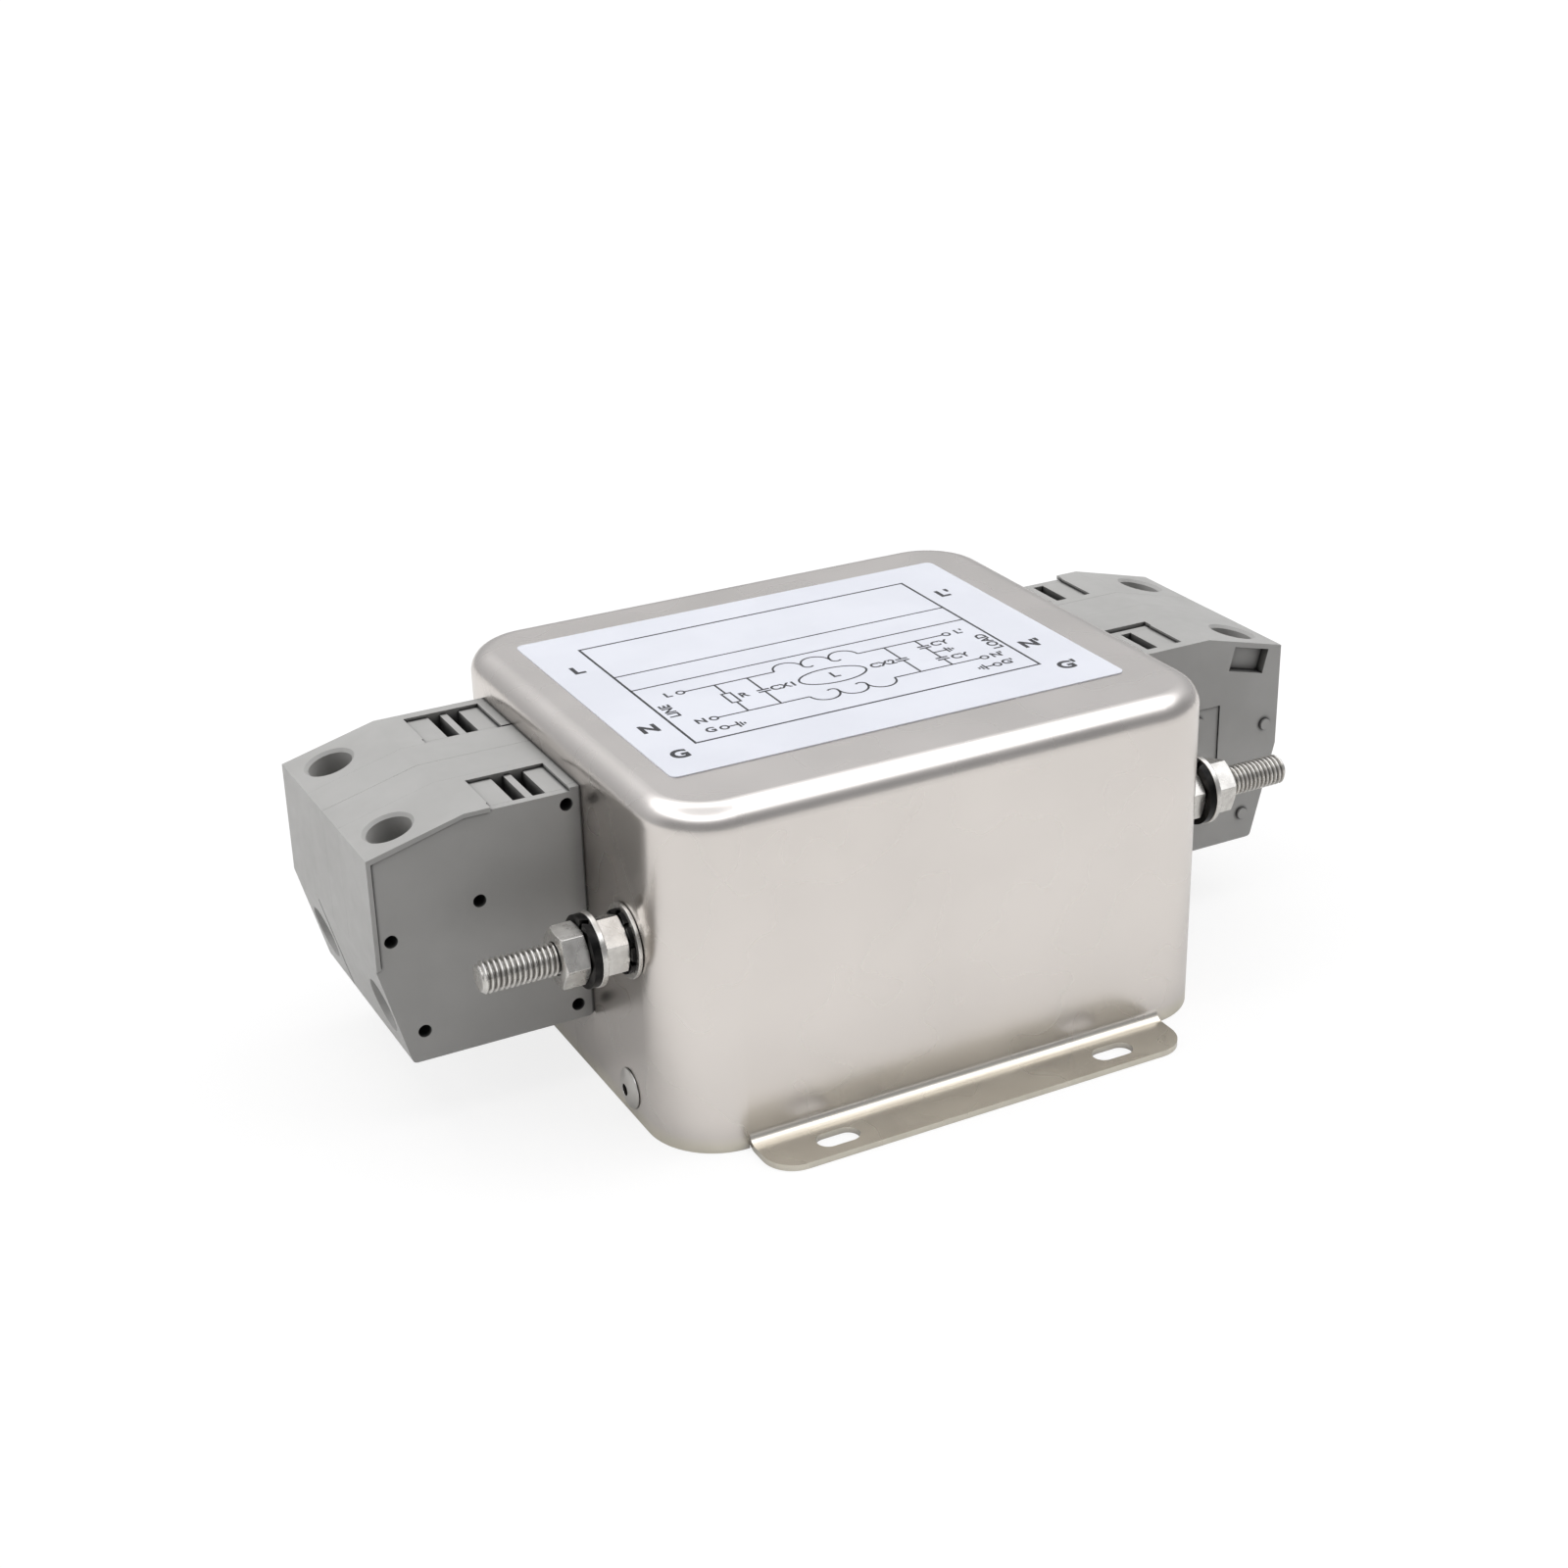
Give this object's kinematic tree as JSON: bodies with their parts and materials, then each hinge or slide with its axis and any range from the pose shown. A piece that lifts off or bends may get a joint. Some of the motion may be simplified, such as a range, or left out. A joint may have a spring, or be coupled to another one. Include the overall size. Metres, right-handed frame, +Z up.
{
  "type": "emi line filter",
  "caption": "Chassis-mount mains EMI line filter: plated drawn steel case with slotted flanges, grey screw terminals and a threaded ground stud at each end, circuit label on top.",
  "frame": {"origin": "centre of the case's plan, on the mounting face under the flanges", "axes": "+X from the LINE end to the LOAD end, +Y away from the ground studs' side, +Z up out of the mounting face towards the label"},
  "size_m": [0.1962, 0.122, 0.0672],
  "materials": {
    "plated_case": "satin bright nickel plate on drawn steel",
    "plated_steel": "satin nickel plate",
    "label_film": "matt film with black print",
    "black_steel": "blackened spring steel",
    "zinc_hardware": "bright stainless steel",
    "terminal_plastic": "fine eroded grey polyamide",
    "cover_plastic": "fine eroded grey polyamide",
    "clip_plastic": "grey polyamide",
    "clamp_steel": "zinc plated steel",
    "tinned_copper": "tinned copper",
    "enamelled_copper": "enamelled copper wire",
    "tray_plastic": "black polyamide",
    "core_coating": "epoxy coated ferrite",
    "board_laminate": "glass epoxy laminate",
    "x_capacitor_case": "moulded capacitor box",
    "y_capacitor_coating": "dipped ceramic disc",
    "resistor_coating": "lacquered resistor",
    "lead_insulation": "black sleeved wire"
  },
  "bodies": {
    "root": {"case": "plated_case", "base_cover": "plated_steel", "cover_rivets": "plated_steel", "label": "label_film", "line_ground_bolt": "zinc_hardware", "line_wall_washer": "zinc_hardware", "line_lock_washer": "black_steel", "line_inner_nut": "zinc_hardware", "line_flat_washer": "zinc_hardware", "line_spring_washer": "black_steel", "line_outer_nut": "zinc_hardware", "load_ground_bolt": "zinc_hardware", "load_wall_washer": "zinc_hardware", "load_lock_washer": "black_steel", "load_inner_nut": "zinc_hardware", "load_flat_washer": "zinc_hardware", "load_spring_washer": "black_steel", "load_outer_nut": "zinc_hardware", "line_n_housing": "terminal_plastic", "line_n_side_cover": "cover_plastic", "line_n_clip_frame": "clip_plastic", "line_n_clamp_cage": "clamp_steel", "line_n_clamp_screw": "clamp_steel", "line_n_current_bar": "tinned_copper", "line_l_housing": "terminal_plastic", "line_l_side_cover": "cover_plastic", "line_l_clip_frame": "clip_plastic", "line_l_clamp_cage": "clamp_steel", "line_l_clamp_screw": "clamp_steel", "line_l_current_bar": "tinned_copper", "load_n_housing": "terminal_plastic", "load_n_side_cover": "cover_plastic", "load_n_clip_frame": "clip_plastic", "load_n_clamp_cage": "clamp_steel", "load_n_clamp_screw": "clamp_steel", "load_n_current_bar": "tinned_copper", "load_l_housing": "terminal_plastic", "load_l_side_cover": "cover_plastic", "load_l_clip_frame": "clip_plastic", "load_l_clamp_cage": "clamp_steel", "load_l_clamp_screw": "clamp_steel", "load_l_current_bar": "tinned_copper", "line_spacer_n": "terminal_plastic", "line_spacer_l": "terminal_plastic", "load_spacer_n": "terminal_plastic", "load_spacer_l": "terminal_plastic", "component_tray": "tray_plastic", "choke_core": "core_coating", "choke_winding_n": "enamelled_copper", "choke_winding_l": "enamelled_copper", "circuit_board": "board_laminate", "x_capacitor_line": "x_capacitor_case", "x_capacitor_load": "x_capacitor_case", "y_capacitor_n": "y_capacitor_coating", "y_capacitor_l": "y_capacitor_coating", "discharge_resistor": "resistor_coating", "winding_lugs": "tinned_copper", "lug_screws": "clamp_steel", "board_leads": "lead_insulation"}
  },
  "joints": []
}
